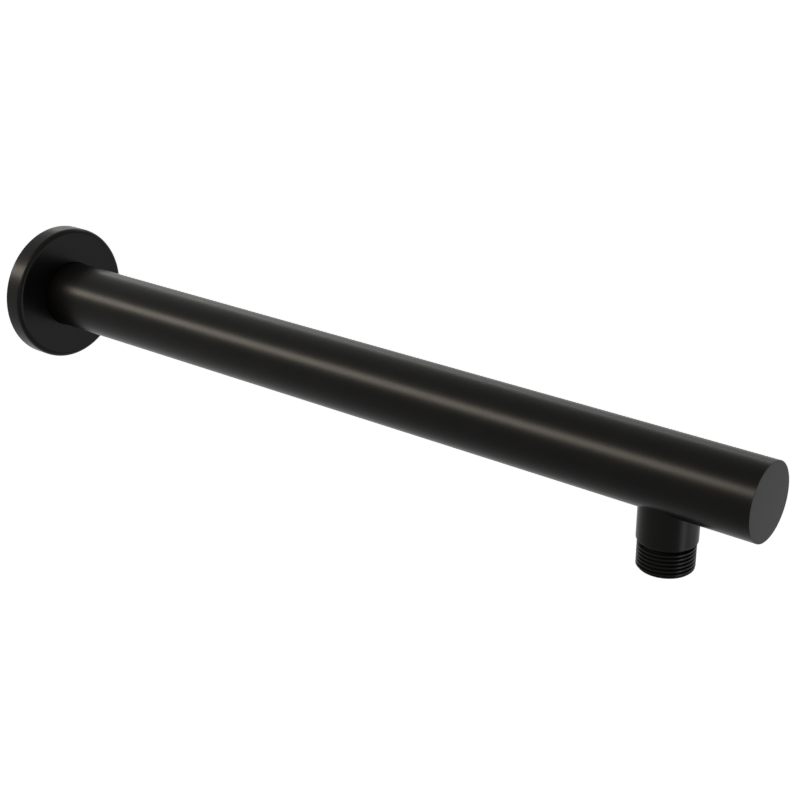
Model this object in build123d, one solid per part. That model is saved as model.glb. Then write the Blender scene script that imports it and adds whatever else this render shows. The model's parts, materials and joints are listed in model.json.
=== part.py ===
from build123d import *
import os

# Wall-mounted shower arm, in millimetres.
# The wall plane is x = 0, the arm runs along +X, and the outlet points down along -Z.

# Arm tube
arm_reach = 359.0            # wall plane to the closed end
tube_diameter = 29.0
tube_wall = 1.5
tube_edge = 0.4              # chamfer on the outer edge of each end
wall_gap = 2.0               # the tube ends this far before the wall, inside the flange
braze_gap = 0.05             # room for the braze between fixed pieces, on each side

# End plug
plug_thickness = 4.0

# Threads, G1/2: a plain cylinder at the major diameter stands for each
thread_diameter = 20.955
thread_tip = 0.8             # chamfer at the thread's tip
relief_diameter = 18.6       # groove between a thread and its shoulder
relief_width = 0.9
bore_diameter = 14.0         # waterway through both nipples

# Outlet nipple
outlet_setback = 36.4        # closed end to the outlet's axis
neck_diameter = 22.0
neck_length = 10.8           # underside of the tube to the neck's shoulder
neck_edge = 0.6              # chamfer on the neck's lower edge
outlet_thread_length = 9.7
spigot_diameter = 17.0       # collar that locates the nipple in the tube's hole

# Wall nipple
wall_thread_length = 15.0    # thread behind the wall plane
grip_length = 16.0           # length brazed inside the tube

# Wall flange
flange_diameter = 60.0
flange_thickness = 9.2
flange_edge_radius = 2.2     # rounded front edge
flange_back_edge = 0.3       # chamfer where the rim meets the wall
flange_face_wall = 2.2
flange_rim_wall = 2.2
flange_clearance = 0.2       # bore over the tube, on each side
flange_bore_edge = 0.4       # chamfer at the bore's mouths
hub_wall = 1.6               # material outside the seal's groove
hub_gap = 1.5                # the hub stops this far before the wall
flange_inner_edge = 1.5      # sloped corner between rim and face, inside

# Seal in the flange, a square-cut rubber ring
seal_section = 2.5
seal_fit = 0.05              # seal over the tube, on each side
seal_seat = 0.05             # seal to the groove's floor
seal_side_play = 0.3         # seal to each side of the groove

# Sizes that follow from the ones above
tube_radius = tube_diameter / 2
tube_bore = tube_radius - tube_wall
thread_radius = thread_diameter / 2
relief_radius = relief_diameter / 2
bore_radius = bore_diameter / 2
neck_radius = neck_diameter / 2
outlet_x = arm_reach - outlet_setback
shoulder_z = -(tube_radius + neck_length)
outlet_tip_z = shoulder_z - relief_width - outlet_thread_length
flange_radius = flange_diameter / 2
seal_bore = tube_radius + seal_fit
seal_radius = seal_bore + seal_section
groove_floor = seal_radius + seal_seat
groove_half_width = seal_section / 2 + seal_side_play
hub_radius = groove_floor + hub_wall
groove_x = (hub_gap + flange_thickness) / 2

standing = (Align.CENTER, Align.CENTER, Align.MIN)    # a cylinder drawn up from its foot
edge_search = 1e-4                                    # how close an edge must lie to be picked


def turned(*outline):
    """Solid of revolution about X from an outline of (x, radius) points."""
    face = Plane.XZ * make_face(Polyline(*outline, close=True))
    return revolve(face, axis=Axis.X)


def along_arm(radius, start, end):
    """Cylinder on the arm's axis from one x to another."""
    return Pos(start, 0, 0) * Rot(0, 90, 0) * Cylinder(radius, end - start, align=standing)


def upright(radius, bottom, top):
    """Cylinder on the outlet's axis from one height to another."""
    return Pos(outlet_x, 0, bottom) * Cylinder(radius, top - bottom, align=standing)


def circle_at(solid, x, radius):
    """The circular edges of this radius at this place on the arm's axis."""
    circles = solid.edges().filter_by(GeomType.CIRCLE)
    here = circles.filter_by(lambda edge: abs(edge.arc_center.X - x) < edge_search)
    return here.filter_by(lambda edge: abs(edge.radius - radius) < edge_search)


def arm_tube():
    """Straight tube with chamfered ends and the hole that takes the outlet's spigot."""
    tube = turned(
        (wall_gap, tube_bore),
        (wall_gap, tube_radius - tube_edge),
        (wall_gap + tube_edge, tube_radius),
        (arm_reach - tube_edge, tube_radius),
        (arm_reach, tube_radius - tube_edge),
        (arm_reach, tube_bore),
    )
    return tube - upright(spigot_diameter / 2 + braze_gap, -2 * tube_radius, 0)


def end_plug():
    """Disc brazed into the closed end, flush with the tube's rim."""
    return along_arm(tube_bore - braze_gap, arm_reach - plug_thickness, arm_reach)


def outlet_nipple():
    """Neck saddled on the tube, its spigot through the wall, then relief groove and thread."""
    stem = upright(neck_radius, shoulder_z, 0)
    stem = chamfer(stem.edges().group_by(Axis.Z)[0], neck_edge)
    stem -= along_arm(tube_radius + braze_gap, 0, arm_reach)
    spigot = upright(spigot_diameter / 2, shoulder_z, 0) - along_arm(tube_bore, 0, arm_reach)
    relief = upright(relief_radius, shoulder_z - relief_width, shoulder_z)
    thread = upright(thread_radius, outlet_tip_z, shoulder_z - relief_width)
    thread = chamfer(thread.edges().group_by(Axis.Z)[0], thread_tip)
    bore = upright(bore_radius, outlet_tip_z, 0)
    return stem + spigot + relief + thread - bore


def wall_nipple():
    """Turned connector: a plug in the tube's wall end, a relief groove and the wall thread."""
    plug_radius = tube_bore - braze_gap
    return turned(
        (-wall_thread_length, bore_radius),
        (-wall_thread_length, thread_radius - thread_tip),
        (thread_tip - wall_thread_length, thread_radius),
        (wall_gap - relief_width, thread_radius),
        (wall_gap - relief_width, relief_radius),
        (wall_gap, relief_radius),
        (wall_gap, plug_radius),
        (wall_gap + grip_length, plug_radius),
        (wall_gap + grip_length, bore_radius),
    )


def wall_flange():
    """Hollow cover ring: rounded face, thin rim and a hub with the seal's groove."""
    bore = tube_radius + flange_clearance
    face_back = flange_thickness - flange_face_wall
    rim_inside = flange_radius - flange_rim_wall
    cover = turned(
        (0, rim_inside),
        (0, flange_radius - flange_back_edge),
        (flange_back_edge, flange_radius),
        (flange_thickness, flange_radius),
        (flange_thickness, bore + flange_bore_edge),
        (flange_thickness - flange_bore_edge, bore),
        (groove_x + groove_half_width, bore),
        (groove_x + groove_half_width, groove_floor),
        (groove_x - groove_half_width, groove_floor),
        (groove_x - groove_half_width, bore),
        (hub_gap + flange_bore_edge, bore),
        (hub_gap, bore + flange_bore_edge),
        (hub_gap, hub_radius),
        (face_back, hub_radius),
        (face_back, rim_inside - flange_inner_edge),
        (face_back - flange_inner_edge, rim_inside),
    )
    return fillet(circle_at(cover, flange_thickness, flange_radius), flange_edge_radius)


def flange_seal():
    """Rubber ring in the flange's groove, closed round the tube."""
    back = groove_x - seal_section / 2
    front = groove_x + seal_section / 2
    return turned(
        (back, seal_bore),
        (back, seal_radius),
        (front, seal_radius),
        (front, seal_bore),
    )


pieces = {
    "arm_tube": arm_tube(),
    "end_plug": end_plug(),
    "outlet_nipple": outlet_nipple(),
    "wall_nipple": wall_nipple(),
    "wall_flange": wall_flange(),
    "flange_seal": flange_seal(),
}

os.makedirs("parts", exist_ok=True)
for name, solid in pieces.items():
    export_step(solid, f"parts/{name}.step")
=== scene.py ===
import bmesh
import bpy
import json
import math
from mathutils import Matrix, Vector


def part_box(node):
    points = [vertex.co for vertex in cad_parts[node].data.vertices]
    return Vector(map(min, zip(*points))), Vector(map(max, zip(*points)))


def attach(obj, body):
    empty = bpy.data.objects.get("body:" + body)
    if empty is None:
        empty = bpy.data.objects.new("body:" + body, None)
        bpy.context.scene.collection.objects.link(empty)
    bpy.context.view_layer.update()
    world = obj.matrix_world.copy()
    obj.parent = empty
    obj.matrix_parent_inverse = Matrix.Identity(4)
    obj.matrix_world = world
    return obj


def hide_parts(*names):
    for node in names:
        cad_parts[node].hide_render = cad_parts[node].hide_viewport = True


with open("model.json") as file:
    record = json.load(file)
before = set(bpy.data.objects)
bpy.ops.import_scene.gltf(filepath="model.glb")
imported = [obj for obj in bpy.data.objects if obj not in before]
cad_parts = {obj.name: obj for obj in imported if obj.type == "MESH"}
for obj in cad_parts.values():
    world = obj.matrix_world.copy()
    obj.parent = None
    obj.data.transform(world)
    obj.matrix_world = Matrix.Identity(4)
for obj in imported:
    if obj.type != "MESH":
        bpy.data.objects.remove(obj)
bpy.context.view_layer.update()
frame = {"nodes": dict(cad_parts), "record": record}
mm = 0.001
tiny = 1e-6
radiusSlack = 20 * tiny  # for the rounding errors of a ring turned in many steps
smoothAngle = math.radians(35)  # flatter edges are shaded smooth
cornerAngle = math.radians(25)  # sharper edges count as corners
print("frame loaded with", len(frame["nodes"]), "nodes")

# The main places, read off the frame
tubeLow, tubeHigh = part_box("arm_tube")
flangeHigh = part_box("wall_flange")[1]
outletLow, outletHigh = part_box("outlet_nipple")
wallLow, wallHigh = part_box("wall_nipple")
sealLow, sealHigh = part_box("flange_seal")
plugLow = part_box("end_plug")[0]
tubeRadius = tubeHigh.z
tubeEnd = tubeHigh.x
outletX = (outletLow.x + outletHigh.x) / 2
threadRadius = frame["record"]["mounts"][0]["dims"]["r_mm"] * mm
alongArm = Vector((1, 0, 0))
upright = Vector((0, 0, 1))


# Helpers for turned pieces: an outline of (place along the axis, radius) goes once round the axis
def turnedBmesh(outline, axis, centre, steps):
    side = upright if axis == alongArm else alongArm
    bm = bmesh.new()
    rim = [bm.verts.new(centre + axis * place + side * radius) for place, radius in outline]
    edges = [bm.edges.new((rim[i - 1], rim[i])) for i in range(len(rim))]
    bmesh.ops.spin(bm, geom=rim + edges, cent=centre, axis=axis, angle=2 * math.pi,
                   steps=steps, use_merge=True)
    bmesh.ops.remove_doubles(bm, verts=bm.verts, dist=tiny)
    bmesh.ops.recalc_face_normals(bm, faces=bm.faces)
    return bm


def polar(co, axis, centre):
    away = co - centre
    place = away.dot(axis)
    return place, (away - axis * place).length


def ringEdges(bm, axis, centre, place, radius):
    found = []
    for edge in bm.edges:
        ends = [polar(v.co, axis, centre) for v in edge.verts]
        if all(abs(p - place) < tiny and abs(r - radius) < radiusSlack for p, r in ends):
            found.append(edge)
    return found


def roundEdges(bm, edges, size, segments):
    bmesh.ops.bevel(bm, geom=edges, offset=size, offset_type="OFFSET", segments=segments,
                    profile=0.5, affect="EDGES", clamp_overlap=True, material=-1)


def sharpEdges(bm):
    return [e for e in bm.edges if e.is_manifold and e.calc_face_angle() > cornerAngle]


def applyModifiers(obj):
    seen = obj.evaluated_get(bpy.context.evaluated_depsgraph_get())
    mesh = bpy.data.meshes.new_from_object(seen)
    obj.modifiers.clear()
    obj.data = mesh


def cutAway(obj, cutterBm):
    cutterMesh = bpy.data.meshes.new("cutter")
    cutterBm.to_mesh(cutterMesh)
    cutterBm.free()
    cutter = bpy.data.objects.new("cutter", cutterMesh)
    bpy.context.scene.collection.objects.link(cutter)
    cut = obj.modifiers.new("cut", "BOOLEAN")
    cut.operation = "DIFFERENCE"
    cut.solver = "EXACT"
    cut.object = cutter
    applyModifiers(obj)
    bpy.data.objects.remove(cutter)


def rod(axis, centre, radius, start, end, steps):
    bm = bmesh.new()
    bmesh.ops.create_cone(bm, cap_ends=True, segments=steps, radius1=radius, radius2=radius,
                          depth=end - start)
    turn = upright.rotation_difference(axis).to_matrix().to_4x4()
    bmesh.ops.transform(bm, matrix=Matrix.Translation(centre + axis * (start + end) / 2) @ turn,
                        verts=bm.verts)
    return bm


def newObject(name, bm):
    mesh = bpy.data.meshes.new(name)
    bm.to_mesh(mesh)
    bm.free()
    obj = bpy.data.objects.new(name, mesh)
    bpy.context.scene.collection.objects.link(obj)
    return obj


def finishPiece(obj, node, body, material):
    mesh = obj.data
    mesh.materials.clear()
    mesh.materials.append(material)
    mesh.polygons.foreach_set("material_index", [0] * len(mesh.polygons))
    mesh.polygons.foreach_set("use_smooth", [True] * len(mesh.polygons))
    mesh.set_sharp_from_angle(angle=smoothAngle)
    # large faces set the shading, so that flats and cylinders look true beside their small rounds
    weighted = obj.modifiers.new("weighted", "WEIGHTED_NORMAL")
    weighted.keep_sharp = True
    applyModifiers(obj)
    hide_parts(node)
    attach(obj, body)
    print("made", obj.name, "with", len(obj.data.polygons), "faces")


# Thread: a groove swept along a right-handed screw line and cut from a turned piece,
# with flat crests that lie as close together as in the photo
thread = {"pitch": 1.5 * mm, "depth": 0.7 * mm, "mouth": 0.95 * mm, "floor": 0.25 * mm,
          "over": 0.3 * mm, "runIn": 0.25 * mm, "stepsPerTurn": 96}


def cutThread(obj, axis, centre, start, tip):
    size = thread
    travel = axis if tip > start else -axis
    side = upright if axis == alongArm else alongArm
    slope = (size["mouth"] - size["floor"]) / 2 / size["depth"]
    inner, outer = threadRadius - size["depth"], threadRadius + size["over"]
    narrow, wide = size["floor"] / 2, size["mouth"] / 2 + size["over"] * slope
    begin = centre + axis * start - travel * size["runIn"]
    corners = [(-narrow, inner), (narrow, inner), (wide, outer), (-wide, outer)]
    bm = bmesh.new()
    verts = [bm.verts.new(begin + travel * place + side * radius) for place, radius in corners]
    section = bm.faces.new(verts)
    turns = abs(tip - start) / size["pitch"] + 1
    steps = round(turns * size["stepsPerTurn"])
    bmesh.ops.spin(bm, geom=[section], cent=centre, axis=travel, angle=2 * math.pi * turns,
                   dvec=travel * size["pitch"] * turns / steps, steps=steps)
    bmesh.ops.remove_doubles(bm, verts=bm.verts, dist=tiny)
    bmesh.ops.recalc_face_normals(bm, faces=bm.faces)
    cutAway(obj, bm)


# Materials
grain = {"fine": 3000.0, "fineDetail": 2.0, "broad": 60.0, "broadDetail": 4.0}
rings = {"pace": 5000.0, "detail": 3.0}
noiseRange = (0.3, 0.7)  # most of the noise lies between these


def nodeTree(name):
    material = bpy.data.materials.new(name)
    material.use_nodes = True
    return material, material.node_tree.nodes, material.node_tree.links


def newGroup(name, inputs, outputs):
    group = bpy.data.node_groups.new(name, "ShaderNodeTree")
    for label, value in inputs.items():
        socket = group.interface.new_socket(label, in_out="INPUT", socket_type="NodeSocketFloat")
        socket.default_value = value
    for label in outputs:
        group.interface.new_socket(label, in_out="OUTPUT", socket_type="NodeSocketFloat")
    return group, group.nodes.new("NodeGroupInput"), group.nodes.new("NodeGroupOutput")


def makeGrainGroup():
    # a fine grain, and slow changes of tone and gloss over a piece
    scales = {"Fine": grain["fine"], "Broad": grain["broad"]}
    group, given, put = newGroup("coatGrain", scales, ("Grain", "Cloud"))
    nodes, links = group.nodes, group.links
    where = nodes.new("ShaderNodeTexCoord")
    layers = (("Fine", grain["fineDetail"], "Grain"), ("Broad", grain["broadDetail"], "Cloud"))
    for scale, detail, out in layers:
        texture = nodes.new("ShaderNodeTexNoise")
        texture.inputs["Detail"].default_value = detail
        links.new(where.outputs["Object"], texture.inputs["Vector"])
        links.new(given.outputs[scale], texture.inputs["Scale"])
        links.new(texture.outputs["Fac"], put.inputs[out])
    return group


def makeRingGroup():
    # rings left by a lathe tool along the arm
    group, given, put = newGroup("toolRings", {"Pace": rings["pace"]}, ("Rings",))
    nodes, links = group.nodes, group.links
    where = nodes.new("ShaderNodeTexCoord")
    split = nodes.new("ShaderNodeSeparateXYZ")
    texture = nodes.new("ShaderNodeTexNoise")
    texture.noise_dimensions = "1D"
    texture.inputs["Detail"].default_value = rings["detail"]
    links.new(where.outputs["Object"], split.inputs["Vector"])
    links.new(split.outputs["X"], texture.inputs["W"])
    links.new(given.outputs["Pace"], texture.inputs["Scale"])
    links.new(texture.outputs["Fac"], put.inputs["Rings"])
    return group


coatGrain = makeGrainGroup()
toolRings = makeRingGroup()


def addGroup(nodes, group, **values):
    node = nodes.new("ShaderNodeGroup")
    node.node_tree = group
    for label, value in values.items():
        node.inputs[label].default_value = value
    return node


def addSpread(nodes, links, source, ends):
    # the part of the range where the noise lies is spread between the two ends
    spread = nodes.new("ShaderNodeMapRange")
    spread.inputs["From Min"].default_value = noiseRange[0]
    spread.inputs["From Max"].default_value = noiseRange[1]
    spread.inputs["To Min"].default_value = ends[0]
    spread.inputs["To Max"].default_value = ends[1]
    links.new(source, spread.inputs["Value"])
    return spread.outputs["Result"]


def addMix(nodes, links, kind, factor, first, second):
    mix = nodes.new("ShaderNodeMix")
    mix.data_type = kind
    places = {"FLOAT": (2, 3, 0), "RGBA": (6, 7, 2)}[kind]  # sockets of the two ends and the result
    for value, place in ((first, places[0]), (second, places[1])):
        if isinstance(value, bpy.types.NodeSocket):
            links.new(value, mix.inputs[place])
        else:
            mix.inputs[place].default_value = value
    links.new(factor, mix.inputs[0])
    return mix.outputs[places[2]]


def addBump(nodes, links, height, look, shader):
    bump = nodes.new("ShaderNodeBump")
    bump.inputs["Strength"].default_value = look["bump"]
    bump.inputs["Distance"].default_value = look["bumpHeight"]
    links.new(height, bump.inputs["Height"])
    links.new(bump.outputs["Normal"], shader.inputs["Normal"])


def addBoreMask(nodes, links, radius):
    # 1 inside this radius about the outlet's axis
    where = nodes.new("ShaderNodeTexCoord")
    away = nodes.new("ShaderNodeVectorMath")
    away.operation = "SUBTRACT"
    away.inputs[1].default_value = (outletX, 0, 0)
    flat = nodes.new("ShaderNodeVectorMath")
    flat.operation = "MULTIPLY"
    flat.inputs[1].default_value = (1, 1, 0)
    reach = nodes.new("ShaderNodeVectorMath")
    reach.operation = "LENGTH"
    inside = nodes.new("ShaderNodeMath")
    inside.operation = "LESS_THAN"
    inside.inputs[1].default_value = radius
    links.new(where.outputs["Object"], away.inputs[0])
    links.new(away.outputs["Vector"], flat.inputs[0])
    links.new(flat.outputs["Vector"], reach.inputs[0])
    links.new(reach.outputs["Value"], inside.inputs[0])
    return inside.outputs["Value"]


def coatMaterial(name, look, bareRadius=None):
    # a coat of slightly uneven tone and gloss; within the bare radius the brass shows
    material, nodes, links = nodeTree(name)
    shader = nodes["Principled BSDF"]
    shader.inputs["IOR"].default_value = look["ior"]
    noise = addGroup(nodes, coatGrain, Fine=look["fine"], Broad=look["broad"])
    cloud = noise.outputs["Cloud"]
    tone = addSpread(nodes, links, cloud, (0.0, 1.0))
    colour = addMix(nodes, links, "RGBA", tone, look["dark"], look["light"])
    gloss = addSpread(nodes, links, cloud, look["gloss"])
    if bareRadius:
        bare = addBoreMask(nodes, links, bareRadius)
        bareColour = addMix(nodes, links, "RGBA", tone, brass["tarnish"], brass["colour"])
        bareGloss = addSpread(nodes, links, cloud, brass["gloss"])
        colour = addMix(nodes, links, "RGBA", bare, colour, bareColour)
        gloss = addMix(nodes, links, "FLOAT", bare, gloss, bareGloss)
        links.new(bare, shader.inputs["Metallic"])
    addBump(nodes, links, noise.outputs["Grain"], look, shader)
    links.new(colour, shader.inputs["Base Color"])
    links.new(gloss, shader.inputs["Roughness"])
    return material


def brassMaterial(name, look):
    # bare turned brass: tool rings and a little tarnish
    material, nodes, links = nodeTree(name)
    shader = nodes["Principled BSDF"]
    shader.inputs["Metallic"].default_value = 1.0
    cloud = addGroup(nodes, coatGrain, Broad=look["broad"]).outputs["Cloud"]
    turning = addGroup(nodes, toolRings).outputs["Rings"]
    tone = addSpread(nodes, links, cloud, (0.0, 1.0))
    colour = addMix(nodes, links, "RGBA", tone, look["tarnish"], look["colour"])
    links.new(colour, shader.inputs["Base Color"])
    links.new(addSpread(nodes, links, turning, look["gloss"]), shader.inputs["Roughness"])
    addBump(nodes, links, turning, look, shader)
    return material


# the low IOR keeps the coat black while it mirrors a white studio
blackCoat = {"dark": (0.0018, 0.0018, 0.0018, 1), "light": (0.0024, 0.0024, 0.0023, 1),
             "gloss": (0.30, 0.32), "ior": 1.17, "fine": 3000.0, "broad": 60.0,
             "bump": 0.06, "bumpHeight": 0.03 * mm}
brass = {"colour": (0.60, 0.40, 0.16, 1), "tarnish": (0.45, 0.29, 0.11, 1), "gloss": (0.24, 0.36),
         "broad": 160.0, "bump": 0.15, "bumpHeight": 0.02 * mm, "boreReach": 7.3 * mm}
rubber = {"dark": (0.009, 0.009, 0.0095, 1), "light": (0.016, 0.016, 0.0165, 1), "gloss": (0.68, 0.82),
          "ior": 1.5, "fine": 6000.0, "broad": 200.0, "bump": 0.12, "bumpHeight": 0.03 * mm}
coat = coatMaterial("satinBlackCoat", blackCoat)
outletCoat = coatMaterial("satinBlackCoatBareBore", blackCoat, bareRadius=brass["boreReach"])
bareBrass = brassMaterial("bareBrass", brass)
sealRubber = coatMaterial("sealRubber", rubber)
print("materials made")


# Arm tube: drawn tube with softly broken ends and the hole for the outlet's spigot
armTube = {"wall": 1.5 * mm, "endRound": 0.12 * mm, "endSegments": 2, "steps": 192,
           "spigotRadius": 8.55 * mm, "holeSteps": 96, "loopGap": 16 * mm}


def makeArmTube(size):
    bore = tubeRadius - size["wall"]
    loops = [outletX - size["loopGap"], outletX + size["loopGap"]]
    outline = [(tubeLow.x, bore), (tubeLow.x, tubeRadius)]
    outline += [(x, tubeRadius) for x in loops]
    outline += [(tubeEnd, tubeRadius), (tubeEnd, bore)]
    outline += [(x, bore) for x in reversed(loops)]
    bm = turnedBmesh(outline, alongArm, Vector(), size["steps"])
    for place in (tubeLow.x, tubeEnd):
        roundEdges(bm, ringEdges(bm, alongArm, Vector(), place, tubeRadius),
                   size["endRound"], size["endSegments"])
    obj = newObject("armTube", bm)
    hole = rod(upright, Vector((outletX, 0, 0)), size["spigotRadius"], -2 * tubeRadius, 0,
               size["holeSteps"])
    cutAway(obj, hole)
    finishPiece(obj, "arm_tube", "arm", coat)


# End plug: disc ground flush with the tube's end
endPlug = {"backRound": 0.3 * mm, "backSegments": 2, "steps": 192}


def makeEndPlug(size):
    radius = tubeRadius - armTube["wall"]
    outline = [(plugLow.x, 0.0), (plugLow.x, radius), (tubeEnd, radius), (tubeEnd, 0.0)]
    bm = turnedBmesh(outline, alongArm, Vector(), size["steps"])
    back = ringEdges(bm, alongArm, Vector(), plugLow.x, radius)
    roundEdges(bm, back, size["backRound"], size["backSegments"])
    finishPiece(newObject("endPlug", bm), "end_plug", "arm", coat)


# Outlet nipple: neck saddled on the tube, relief groove and male thread
outletNipple = {"bore": 7.0 * mm, "neckEdge": 0.6 * mm, "relief": 9.3 * mm, "reliefWidth": 0.9 * mm,
                "threadLength": 9.7 * mm, "tip": 0.8 * mm, "spigot": 8.5 * mm,
                "edgeRound": 0.2 * mm, "edgeSegments": 2, "steps": 144, "holeSteps": 96,
                "neckTop": 1 / 3, "saddleReach": 30 * mm}  # the neck is first turned up into the tube


def makeOutletNipple(size):
    centre = Vector((outletX, 0, 0))
    neck = (outletHigh.x - outletLow.x) / 2
    tip = outletLow.z
    start = tip + size["threadLength"]
    shoulder = start + size["reliefWidth"]
    top = -tubeRadius * size["neckTop"]
    outline = [(top, size["bore"]), (top, neck), (shoulder + size["neckEdge"], neck)]
    outline += [(shoulder, neck - size["neckEdge"]), (shoulder, size["relief"]), (start, size["relief"])]
    outline += [(start, threadRadius), (tip + size["tip"], threadRadius), (tip, threadRadius - size["tip"])]
    outline += [(tip, size["bore"])]
    bm = turnedBmesh(outline, upright, centre, size["steps"])
    for place, radius in ((shoulder + size["neckEdge"], neck), (shoulder, neck - size["neckEdge"])):
        ring = ringEdges(bm, upright, centre, place, radius)
        roundEdges(bm, ring, size["edgeRound"], size["edgeSegments"])
    obj = newObject("outletNipple", bm)
    cutThread(obj, upright, centre, start, tip)
    # the saddle: everything inside the tube goes, apart from the spigot in the tube's wall
    saddleEnds = (outletX - size["saddleReach"], outletX + size["saddleReach"])
    saddle = newObject("saddle", rod(alongArm, Vector(), tubeRadius, *saddleEnds, armTube["steps"]))
    spigot = rod(upright, centre, size["spigot"], -2 * tubeRadius, 2 * tubeRadius, size["holeSteps"])
    cutAway(saddle, spigot)
    saddleBm = bmesh.new()
    saddleBm.from_mesh(saddle.data)
    bpy.data.objects.remove(saddle)
    cutAway(obj, saddleBm)
    cutAway(obj, rod(alongArm, Vector(), tubeRadius - armTube["wall"], *saddleEnds, armTube["steps"]))
    finishPiece(obj, "outlet_nipple", "arm", outletCoat)


# Wall nipple: plug in the tube's wall end, relief groove and the thread that goes into the wall
wallNipple = {"bore": 7.0 * mm, "relief": 9.3 * mm, "reliefWidth": 0.9 * mm, "tip": 0.8 * mm,
              "edgeRound": 0.3 * mm, "edgeSegments": 3, "steps": 144}


def makeWallNipple(size):
    plug = wallHigh.z
    start = tubeLow.x - size["reliefWidth"]
    tip = wallLow.x
    outline = [(wallHigh.x, size["bore"]), (wallHigh.x, plug), (tubeLow.x, plug)]
    outline += [(tubeLow.x, size["relief"]), (start, size["relief"])]
    outline += [(start, threadRadius), (tip + size["tip"], threadRadius), (tip, threadRadius - size["tip"])]
    outline += [(tip, size["bore"])]
    bm = turnedBmesh(outline, alongArm, Vector(), size["steps"])
    mouth = ringEdges(bm, alongArm, Vector(), tip, size["bore"])
    roundEdges(bm, mouth, size["edgeRound"], size["edgeSegments"])
    obj = newObject("wallNipple", bm)
    cutThread(obj, alongArm, Vector(), start, tip)
    finishPiece(obj, "wall_nipple", "arm", bareBrass)


# Wall flange: hollow cover with a rounded front edge and a hub that holds the seal
wallFlange = {"frontRound": 2.2 * mm, "frontSegments": 10, "face": 2.2 * mm, "rim": 2.2 * mm,
              "clearance": 0.2 * mm, "hubWall": 1.6 * mm, "hubGap": 1.5 * mm, "innerEdge": 1.5 * mm,
              "groovePlay": 0.3 * mm, "grooveSeat": 0.05 * mm, "edgeRound": 0.3 * mm, "edgeSegments": 3,
              "boreRound": 0.15 * mm, "boreSegments": 2, "steps": 256}


def makeWallFlange(size):
    front, radius = flangeHigh.x, flangeHigh.z
    bore = tubeRadius + size["clearance"]
    grooveBack, grooveFront = sealLow.x - size["groovePlay"], sealHigh.x + size["groovePlay"]
    grooveFloor = sealHigh.z + size["grooveSeat"]
    hub = grooveFloor + size["hubWall"]
    faceBack, rimInside = front - size["face"], radius - size["rim"]
    outline = [(0, rimInside), (0, radius), (front, radius), (front, bore)]
    outline += [(grooveFront, bore), (grooveFront, grooveFloor)]
    outline += [(grooveBack, grooveFloor), (grooveBack, bore)]
    outline += [(size["hubGap"], bore), (size["hubGap"], hub), (faceBack, hub)]
    outline += [(faceBack, rimInside - size["innerEdge"]), (faceBack - size["innerEdge"], rimInside)]
    bm = turnedBmesh(outline, alongArm, Vector(), size["steps"])
    frontEdge = ringEdges(bm, alongArm, Vector(), front, radius)
    roundEdges(bm, frontEdge, size["frontRound"], size["frontSegments"])
    for place, ring in ((0, radius), (0, rimInside), (size["hubGap"], bore), (size["hubGap"], hub)):
        backEdge = ringEdges(bm, alongArm, Vector(), place, ring)
        roundEdges(bm, backEdge, size["edgeRound"], size["edgeSegments"])
    boreEdge = ringEdges(bm, alongArm, Vector(), front, bore)
    roundEdges(bm, boreEdge, size["boreRound"], size["boreSegments"])
    finishPiece(newObject("wallFlange", bm), "wall_flange", "flange", coat)


# Seal: square-cut rubber ring with soft corners
flangeSeal = {"fit": 0.05 * mm, "corner": 0.15 * mm, "cornerSegments": 3, "steps": 128}


def makeFlangeSeal(size):
    inside = tubeRadius + size["fit"]
    outline = [(sealLow.x, inside), (sealLow.x, sealHigh.z)]
    outline += [(sealHigh.x, sealHigh.z), (sealHigh.x, inside)]
    bm = turnedBmesh(outline, alongArm, Vector(), size["steps"])
    roundEdges(bm, sharpEdges(bm), size["corner"], size["cornerSegments"])
    finishPiece(newObject("flangeSeal", bm), "flange_seal", "flange", sealRubber)


makeArmTube(armTube)
makeEndPlug(endPlug)
makeOutletNipple(outletNipple)
makeWallNipple(wallNipple)
makeWallFlange(wallFlange)
makeFlangeSeal(flangeSeal)

# Camera at the photograph's viewing angle
camera = {"place": (0.5470, -0.4304, 0.2228), "azimuth": 38.63, "elevation": 22.33, "lens": 68.83,
          "sensor": 36.0, "farthest": 200.0}


def makeCamera(view):
    data = bpy.data.cameras.new("camera")
    data.sensor_width = view["sensor"]
    data.lens = view["lens"]
    data.clip_end = view["farthest"]
    obj = bpy.data.objects.new("camera", data)
    azimuth, elevation = math.radians(view["azimuth"]), math.radians(view["elevation"])
    back = Vector((math.sin(azimuth) * math.cos(elevation), -math.cos(azimuth) * math.cos(elevation),
                   math.sin(elevation)))
    obj.rotation_mode = "QUATERNION"
    obj.rotation_quaternion = (-back).to_track_quat("-Z", "Y")
    obj.location = view["place"]
    bpy.context.scene.collection.objects.link(obj)
    bpy.context.scene.camera = obj


# Lamps: warm strips along the arm and plain fills off its free end
plain = (1.0, 1.0, 1.0)
lamps = {
    "frontStrip": {"place": (-0.55, -0.714, 0.548), "faces": (-0.55, 0, 0), "size": (1.3, 0.25),
                   "power": 26.0, "colour": (1.0, 0.90, 0.76)},
    "backStrip": {"place": (-0.45, 0.771, 0.464), "faces": (-0.45, 0, 0), "size": (1.5, 0.15),
                  "power": 2.3, "colour": (1.0, 0.955, 0.87)},
    "tallFill": {"place": (2.15, -0.06, -0.5), "faces": (0.15, 0, 0), "size": (0.55, 1.6),
                 "power": 15.0, "colour": plain},
    "endFill": {"place": (2.1, 0.95, -0.35), "faces": (0.15, 0, 0), "size": (1.2, 1.2),
                "power": 12.0, "colour": plain},
}


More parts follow.
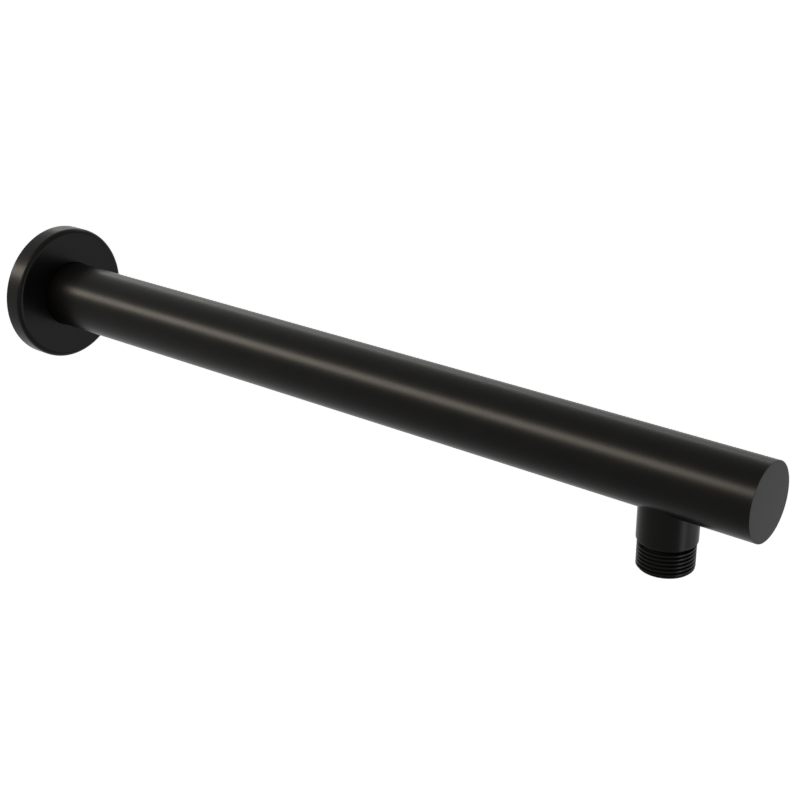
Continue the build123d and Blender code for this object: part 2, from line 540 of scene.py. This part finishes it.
def makeLamp(name, look):
    data = bpy.data.lights.new(name, "AREA")
    data.shape = "RECTANGLE"
    data.size, data.size_y = look["size"]
    data.energy = look["power"]
    data.color = look["colour"]
    obj = bpy.data.objects.new(name, data)
    obj.location = look["place"]
    towards = Vector(look["faces"]) - obj.location
    obj.rotation_mode = "QUATERNION"
    obj.rotation_quaternion = towards.to_track_quat("-Z", "Y")
    bpy.context.scene.collection.objects.link(obj)


# Studio: pale floor far below and white all round, which the coat and the bare metal mirror
studio = {"floorDrop": 4.0, "floorHalf": 60.0, "floorColour": (0.8, 0.8, 0.8, 1), "floorRoughness": 0.9,
          "white": (1, 1, 1, 1), "ambient": 0.15}


def seenStraight(nodes, links):
    # 1 for the camera, and for what mirrors or glass show, and 0 for soft light
    path = nodes.new("ShaderNodeLightPath")
    either = nodes.new("ShaderNodeMath")
    either.operation = "MAXIMUM"
    links.new(path.outputs["Is Camera Ray"], either.inputs[0])
    links.new(path.outputs["Is Glossy Ray"], either.inputs[1])
    both = nodes.new("ShaderNodeMath")
    both.operation = "MAXIMUM"
    links.new(either.outputs["Value"], both.inputs[0])
    links.new(path.outputs["Is Transmission Ray"], both.inputs[1])
    return both.outputs["Value"]


def makeStudio(look):
    world = bpy.data.worlds.new("whiteStudio")
    world.use_nodes = True
    bpy.context.scene.world = world
    nodes, links = world.node_tree.nodes, world.node_tree.links
    strength = nodes.new("ShaderNodeMapRange")
    strength.inputs["To Min"].default_value = look["ambient"]
    strength.inputs["To Max"].default_value = 1.0
    links.new(seenStraight(nodes, links), strength.inputs["Value"])
    nodes["Background"].inputs["Color"].default_value = look["white"]
    links.new(strength.outputs["Result"], nodes["Background"].inputs["Strength"])

    bm = bmesh.new()
    bmesh.ops.create_grid(bm, x_segments=1, y_segments=1, size=look["floorHalf"])
    bmesh.ops.translate(bm, verts=bm.verts, vec=(0, 0, -look["floorDrop"]))
    floor = newObject("floor", bm)
    material, nodes, links = nodeTree("paleFloor")
    shader = nodes["Principled BSDF"]
    shader.inputs["Base Color"].default_value = look["floorColour"]
    shader.inputs["Roughness"].default_value = look["floorRoughness"]
    shader.inputs["Emission Color"].default_value = look["white"]
    # the part of white that the soft light on the floor doesn't give, so a shadow stays
    rest = nodes.new("ShaderNodeMath")
    rest.operation = "MULTIPLY"
    rest.inputs[1].default_value = 1.0 - look["floorColour"][0] * look["ambient"]
    links.new(seenStraight(nodes, links), rest.inputs[0])
    links.new(rest.outputs["Value"], shader.inputs["Emission Strength"])
    floor.data.materials.append(material)


makeCamera(camera)
for lampName, lampLook in lamps.items():
    makeLamp(lampName, lampLook)
makeStudio(studio)
bpy.context.scene.view_settings.view_transform = "Standard"
print("studio set")
